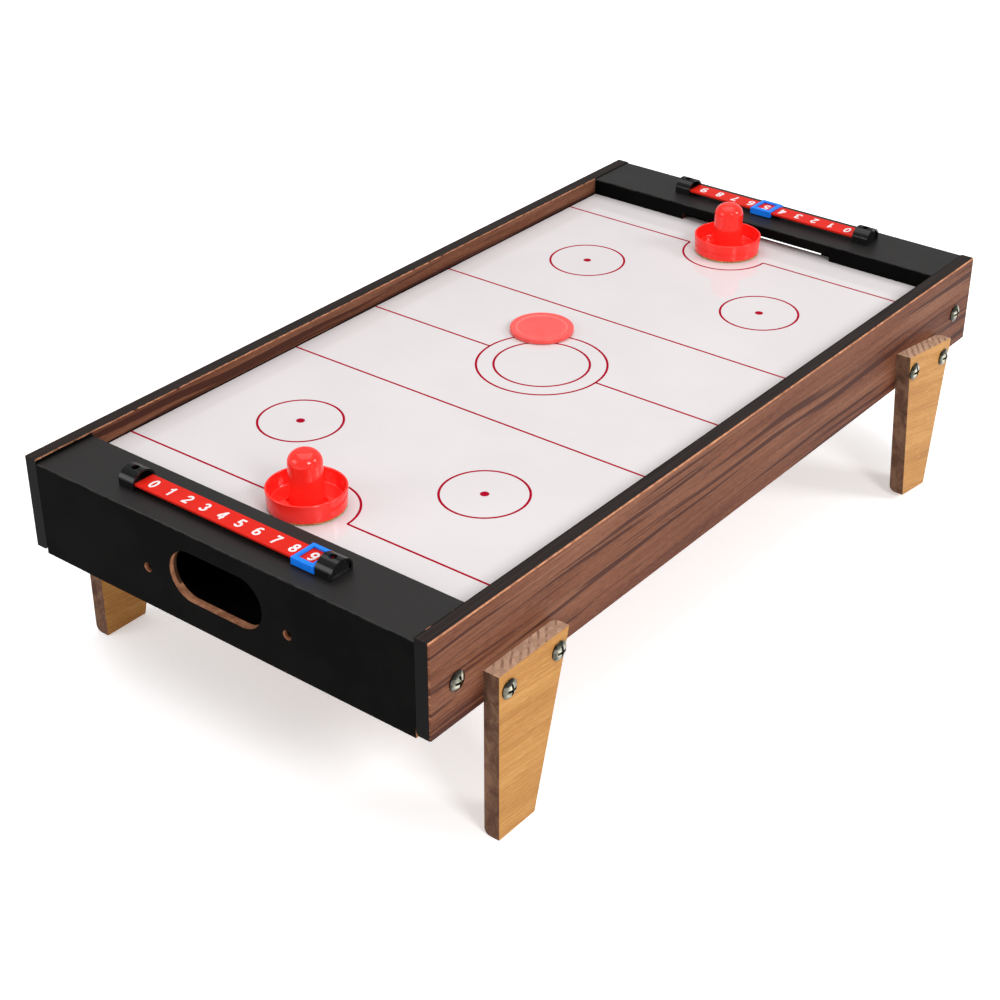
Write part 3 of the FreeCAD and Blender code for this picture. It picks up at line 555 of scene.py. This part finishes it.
def paint_nodes():
    """Give every CAD node its slot's material, or one of its own, and return the slots' materials."""
    leg_lean = math.radians(8)
    by_slot = {
        "walnut_laminate": make_walnut(),
        "black_board": make_black_board("black laminated board", gloss=0.008),
        "raw_board": make_raw_board(),
        "beech_laminate": make_beech("beech laminate"),
        "field_print": make_field_film(),
        "zinc_steel": make_zinc("zinc plating", (0.60, 0.59, 0.47)),
        "black_plastic": make_plastic("black plastic", (0.0035, 0.0037, 0.0038), roughness=0.13, gloss=0.27,
                                      scuffs=0.30, relief=0.04 * MM),
        "red_strip": make_red_strip(),
        # painted shade: the small screws are tinted very dark so that the holes they sit in look dark
        "small_screw": make_zinc("small screw plating in painted shade", (0.16, 0.13, 0.08)),
        "blue_plastic": make_plastic("blue plastic", (0.007, 0.215, 0.950), roughness=0.24, gloss=0.25),
        "red_plastic": make_plastic("red plastic", (1.0, 0.026, 0.018), roughness=0.075, gloss=0.34,
                                    shade=0.97, relief=0.01 * MM, glow=0.14),
        "felt": make_felt(),
        "coral_plastic": make_puck(),
    }
    satin_board = make_black_board("black laminated top", gloss=0.31)
    by_node = {
        "far_right_leg": make_beech("beech laminate leaning", lean=leg_lean),
        "near_end_top": satin_board,
        "far_end_top": satin_board,
    }
    for row in frame["record"]["subparts"]:
        node = frame["nodes"][row["node"]]
        material = by_node.get(row["node"], by_slot[row["material_slot"]])
        for slot in node.material_slots:
            slot.material = material
    return by_slot


# ---------------------------------------------------------------- helpers for pieces

def new_piece(name, shape, material, body):
    """Turn a bmesh into an object that rides on a body of the frame."""
    bmesh.ops.recalc_face_normals(shape, faces=shape.faces)
    mesh = bpy.data.meshes.new(name)
    shape.to_mesh(mesh)
    shape.free()
    mesh.materials.append(material)
    piece = bpy.data.objects.new(name, mesh)
    bpy.context.scene.collection.objects.link(piece)
    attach(piece, body)
    return piece


def add_ribbon(shape, line, width, low, high, closed=False):
    """A thin flat band of one width along a line of (x, y) points, between two heights."""
    count = len(line)
    sections = []
    for index, point in enumerate(line):
        before = line[index - 1] if closed or index > 0 else point
        after = line[(index + 1) % count] if closed or index < count - 1 else point
        along = (after - before).normalized()
        across = Vector((-along.y, along.x)) * width / 2
        sections.append([shape.verts.new((*(point + side * across), level))
                         for level in (low, high) for side in (-1, 1)])
    for index in range(count if closed else count - 1):
        here, there = sections[index], sections[(index + 1) % count]
        for first, second in ((0, 1), (1, 3), (3, 2), (2, 0)):
            shape.faces.new((here[first], here[second], there[second], there[first]))
    if not closed:
        for section in (sections[0], sections[-1]):
            shape.faces.new([section[corner] for corner in (0, 1, 3, 2)])


def arc(centre, radius, start, end, steps):
    """Points along an arc between two angles; both ends are included."""
    return [centre + radius * Vector((math.cos(angle), math.sin(angle)))
            for angle in (start + (end - start) * step / steps for step in range(steps + 1))]


def circle(centre, radius, steps):
    return arc(centre, radius, 0, 2 * math.pi, steps)[:-1]


# ---------------------------------------------------------------- printed lines of the field

def add_disc(shape, rim, low, high):
    """A thin flat disc between two heights, inside a rim of (x, y) points."""
    tops = [shape.verts.new((*point, high)) for point in rim]
    feet = [shape.verts.new((*point, low)) for point in rim]
    shape.faces.new(tops)
    shape.faces.new(feet[::-1])
    for index, top in enumerate(tops):
        following = (index + 1) % len(tops)
        shape.faces.new((top, feet[index], feet[following], tops[following]))


def add_field_lines(ink):
    """Goal lines with creases, quarter lines, centre line and circles, and face-off circles with dots."""
    line_width = 1.8 * MM
    goal_line = 258.6 * MM
    quarter_line = 91.0 * MM
    crease_radius = 35.8 * MM
    centre_radii = (49.1 * MM, 36.0 * MM)
    face_off = Vector((82.7, 174.6)) * MM
    face_off_radius = 30.6 * MM
    dot_radius = 3.2 * MM
    shift = Vector((-1.8, -1.1)) * MM
    askew = math.radians(0.54)
    skew = Matrix.Rotation(askew, 2)
    sheet_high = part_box("field_sheet")[1]
    ink_low = sheet_high.z
    ink_high = ink_low + INK_HEIGHT
    shape = bmesh.new()

    def placed(points):
        """Points of the print, moved off centre and turned as the whole print is."""
        return [skew @ point + shift for point in points]

    def put(points, closed=False):
        add_ribbon(shape, placed(points), line_width, ink_low, ink_high, closed)

    def edge(side, y):
        """Where a line at height y of the print meets the field's side edge, in the print's own frame."""
        return Vector(((side * sheet_high.x - shift.x) / math.cos(askew) + y * math.tan(askew), y))

    def put_line(y, gap):
        """A line across the field with a gap in its middle."""
        for side in (-1, 1):
            put([Vector((side * gap, y)), edge(side, y)])

    for sign in (-1, 1):
        put_line(sign * goal_line, crease_radius)
        start = 0 if sign < 0 else math.pi
        put(arc(Vector((0, sign * goal_line)), crease_radius, start, start + math.pi, steps=60))
        put([edge(-1, sign * quarter_line), edge(1, sign * quarter_line)])
        for side in (-1, 1):
            spot = Vector((side * face_off.x, sign * face_off.y))
            put(circle(spot, face_off_radius, steps=96), closed=True)
            add_disc(shape, placed(circle(spot, dot_radius, steps=32)), ink_low, ink_high)
    for radius in centre_radii:
        put(circle(Vector((0, 0)), radius, steps=128), closed=True)
    put_line(0, centre_radii[0])
    new_piece("field_lines", shape, ink, "table")


# ---------------------------------------------------------------- numbers of the score bars

def oval(centre, radii, start=0, end=360, steps=40):
    """Points along an ellipse between two angles in degrees; both ends are included."""
    angles = [math.radians(start + (end - start) * step / steps) for step in range(steps + 1)]
    return [Vector((centre[0] + radii[0] * math.cos(angle), centre[1] + radii[1] * math.sin(angle)))
            for angle in angles]


def path(*points):
    return [Vector(point) for point in points]


def digit_strokes(digit):
    """The strokes of a bold upright digit, one unit high and about 0.6 units wide, and which are closed."""
    hook = oval((0.30, 0.50), (0.22, 0.42), 180, 50, 24)
    bowl = oval((0.30, 0.31), (0.215, 0.225))[:-1]
    upside_down = [[Vector((0.60 - point.x, 1 - point.y)) for point in line] for line in (hook, bowl)]
    strokes = {
        0: [(oval((0.30, 0.50), (0.20, 0.415))[:-1], True)],
        1: [(path((0.36, 0), (0.36, 1)), False), (path((0.38, 0.90), (0.30, 0.80), (0.10, 0.70)), False)],
        2: [(oval((0.30, 0.69), (0.205, 0.225), 170, -35, 24) + path((0.10, 0.10)), False),
            (path((0.05, 0.085), (0.56, 0.085)), False)],
        3: [(oval((0.29, 0.71), (0.19, 0.205), 165, -90, 24), False),
            (oval((0.29, 0.30), (0.215, 0.215), 90, -165, 24), False)],
        4: [(path((0.42, 0), (0.42, 1)), False), (path((0.40, 0.95), (0.07, 0.33)), False),
            (path((0.02, 0.29), (0.58, 0.29)), False)],
        5: [(path((0.54, 0.915), (0.14, 0.915)), False), (path((0.18, 0.95), (0.12, 0.47)), False),
            (oval((0.29, 0.32), (0.215, 0.235), 140, -160, 24), False)],
        6: [(hook, False), (bowl, True)],
        7: [(path((0.05, 0.915), (0.55, 0.915)), False),
            (path((0.52, 0.93), (0.38, 0.66), (0.28, 0.35), (0.24, 0)), False)],
        8: [(oval((0.30, 0.73), (0.175, 0.185))[:-1], True), (oval((0.30, 0.295), (0.21, 0.21))[:-1], True)],
        9: [(upside_down[0], False), (upside_down[1], True)],
    }
    return strokes[digit]


def add_digit(shape, digit, place, turned):
    """One digit, its middle at a place, as a thin raised print, each stroke just above the one before."""
    height = 9.4 * MM
    stroke_width = 1.7 * MM
    middle = Vector((0.30, 0.50))
    facing = -1 if turned else 1
    for layer, (line, closed) in enumerate(digit_strokes(digit), start=1):
        points = [place.xy + facing * height * (point - middle) for point in line]
        add_ribbon(shape, points, stroke_width, place.z, place.z + layer * INK_HEIGHT, closed)


def add_score_numbers(ink):
    """Numbers 0 to 9 on each strip, where the slider's window stops over them."""
    joints = {joint["child"]: joint for joint in frame["joints"]}
    last_number = 9
    for end in ENDS:
        turned = end == "far"
        slider_low, slider_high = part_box(f"{end}_score_slider")
        strip_low, strip_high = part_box(f"{end}_score_strip")
        rest = (slider_low.x + slider_high.x) / 2
        travel_low, travel_high = joints[f"{end}_slider"]["range_m"]
        first, last = (travel_high, travel_low) if turned else (travel_low, travel_high)
        y = (strip_low.y + strip_high.y) / 2
        shape = bmesh.new()
        for number in range(last_number + 1):
            x = rest + first + (last - first) * number / last_number
            add_digit(shape, number, Vector((x, y, strip_high.z)), turned)
        new_piece(f"{end}_score_numbers", shape, ink, "table")


# ---------------------------------------------------------------- felt pads

def add_ragged_disc(shape, centre, radius, low_z, high_z, chance):
    """A disc whose side bulges a little and wanders in and out."""
    steps = 240
    levels = 5
    inset = 0.25 * MM
    bulge_height = 0.35 * MM
    rings = []
    wander = 0.0
    for level in range(levels):
        share = level / (levels - 1)
        bulge = bulge_height * math.sin(math.pi * share)
        z = low_z + share * (high_z - low_z)
        ring = []
        for step in range(steps):
            angle = 2 * math.pi * step / steps
            wander = 0.7 * wander + chance.uniform(-0.12, 0.12) * MM
            reach = radius - inset + bulge + wander
            ring.append(shape.verts.new((centre.x + reach * math.cos(angle),
                                         centre.y + reach * math.sin(angle), z)))
        rings.append(ring)
    for lower, upper in zip(rings, rings[1:]):
        for step in range(steps):
            following = (step + 1) % steps
            shape.faces.new((lower[step], lower[following], upper[following], upper[step]))
    shape.faces.new(rings[0][::-1])
    shape.faces.new(rings[-1])


def add_loose_fibres(shape, centre, radius, low_z, high_z, chance):
    """Thin spikes that stick out of a disc's side, within its top and underside."""
    count = 420
    root_depth = 0.4 * MM
    margin = 0.15 * MM
    half = 0.09 * MM
    for _ in range(count):
        angle = chance.uniform(0, 2 * math.pi)
        outwards = Vector((math.cos(angle), math.sin(angle), 0))
        sideways = Vector((-outwards.y, outwards.x, 0))
        root = centre + outwards * (radius - root_depth)
        root.z = chance.uniform(low_z + margin, high_z - margin)
        tip = root + outwards * chance.uniform(0.5, 1.15) * MM + sideways * chance.uniform(-0.5, 0.5) * MM
        tip.z = min(max(tip.z + chance.uniform(-0.25, 0.25) * MM, low_z), high_z)
        offsets = (sideways * half, Vector((0, 0, half)), -sideways * half, Vector((0, 0, -half)))
        corners = [shape.verts.new(root + offset) for offset in offsets]
        point = shape.verts.new(tip)
        shape.faces.new(corners)
        for index, corner in enumerate(corners):
            shape.faces.new((corner, corners[(index + 1) % len(corners)], point))


def add_felt_pad(end, felt, seed):
    """The striker's felt: a disc with a ragged rim and loose fibres, in place of the plain CAD disc."""
    low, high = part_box(f"{end}_striker_felt")
    centre = (low + high) / 2
    radius = (high.x - low.x) / 2
    chance = random.Random(seed)
    shape = bmesh.new()
    add_ragged_disc(shape, centre, radius, low.z, high.z, chance)
    add_loose_fibres(shape, centre, radius, low.z, high.z, chance)
    pad = new_piece(f"{end}_felt_pad", shape, felt, f"{end}_striker")
    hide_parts(f"{end}_striker_felt")


# ---------------------------------------------------------------- stage, light and camera

def make_stage():
    look = Look("pale floor", roughness=0.9, gloss=0.0)
    look.colour(look.mix(look.noise(0.8, detail=2), (0.83, 0.83, 0.83), (0.87, 0.87, 0.87)))
    look.set("Emission Color", (1, 1, 1, 1))
    look.set("Emission Strength", 0.42)
    half = 8.0
    corners = ((-half, -half), (half, -half), (half, half), (-half, half))
    shape = bmesh.new()
    shape.faces.new([shape.verts.new((x, y, 0)) for x, y in corners])
    mesh = bpy.data.meshes.new("floor")
    shape.to_mesh(mesh)
    shape.free()
    mesh.materials.append(look.material)
    floor = bpy.data.objects.new("floor", mesh)
    bpy.context.scene.collection.objects.link(floor)


def make_world():
    """A pale studio: bright at the horizon and overhead, dimmer in between so that metal has contrast."""
    world = bpy.data.worlds.new("studio")
    bpy.context.scene.world = world
    world.use_nodes = True
    tree = world.node_tree
    background = tree.nodes["Background"]
    where = tree.nodes.new("ShaderNodeTexCoord")
    split = tree.nodes.new("ShaderNodeSeparateXYZ")
    ramp = tree.nodes.new("ShaderNodeValToRGB")
    tree.links.new(where.outputs["Generated"], split.inputs[0])
    tree.links.new(split.outputs["Z"], ramp.inputs[0])
    tree.links.new(ramp.outputs[0], background.inputs["Color"])
    greys = ((0.0, 0.76), (0.12, 0.60), (0.30, 0.50), (0.47, 0.60), (0.60, 0.42), (1.0, 0.92))
    set_stops(ramp, [(position, (grey, grey, grey)) for position, grey in greys])
    background.inputs["Strength"].default_value = 0.88


def add_softbox(name, place, aim, size, watts):
    data = bpy.data.lights.new(name, "AREA")
    data.shape = "RECTANGLE"
    data.size, data.size_y = size
    data.energy = watts
    lamp = bpy.data.objects.new(name, data)
    bpy.context.scene.collection.objects.link(lamp)
    lamp.location = place
    lamp.rotation_euler = (Vector(place) - Vector(aim)).to_track_quat("Z", "Y").to_euler()


def make_lights():
    centre = (0, 0, 0.15)
    add_softbox("overhead", (-0.3, 0.3, 2.4), centre, (2.4, 2.4), 28)
    add_softbox("near right", (1.68, -0.77, 1.35), centre, (0.55, 0.55), 18)
    add_softbox("far right", (1.66, 0.89, 1.28), centre, (0.55, 0.55), 16)
    add_softbox("near left", (-1.2, -2.0, 1.2), centre, (1.4, 1.0), 14)


def make_camera():
    """The photograph's view: about 38 degrees round to the right of the near end, 31 degrees up."""
    azimuth = math.radians(38.22)
    height = math.radians(31.10)
    distance = 1.2089
    target = Vector((0.1333, -0.2229, 0.1983))
    level = math.cos(height)
    back = Vector((math.sin(azimuth) * level, -math.cos(azimuth) * level, math.sin(height)))
    data = bpy.data.cameras.new("camera")
    data.sensor_width = 36
    data.lens = 69.9
    data.clip_start = 0.05
    camera = bpy.data.objects.new("camera", data)
    bpy.context.scene.collection.objects.link(camera)
    camera.location = target + back * distance
    camera.rotation_euler = back.to_track_quat("Z", "Y").to_euler()
    bpy.context.scene.camera = camera


# ---------------------------------------------------------------- build

make_camera()
materials = paint_nodes()
add_field_lines(make_ink("crimson ink", (0.370, 0.001, 0.020)))
add_score_numbers(make_ink("white ink", (0.78, 0.75, 0.76)))
for end, seed in zip(ENDS, (7, 11)):
    add_felt_pad(end, materials["felt"], seed)
make_stage()
make_world()
make_lights()
bpy.context.scene.view_settings.view_transform = "Standard"
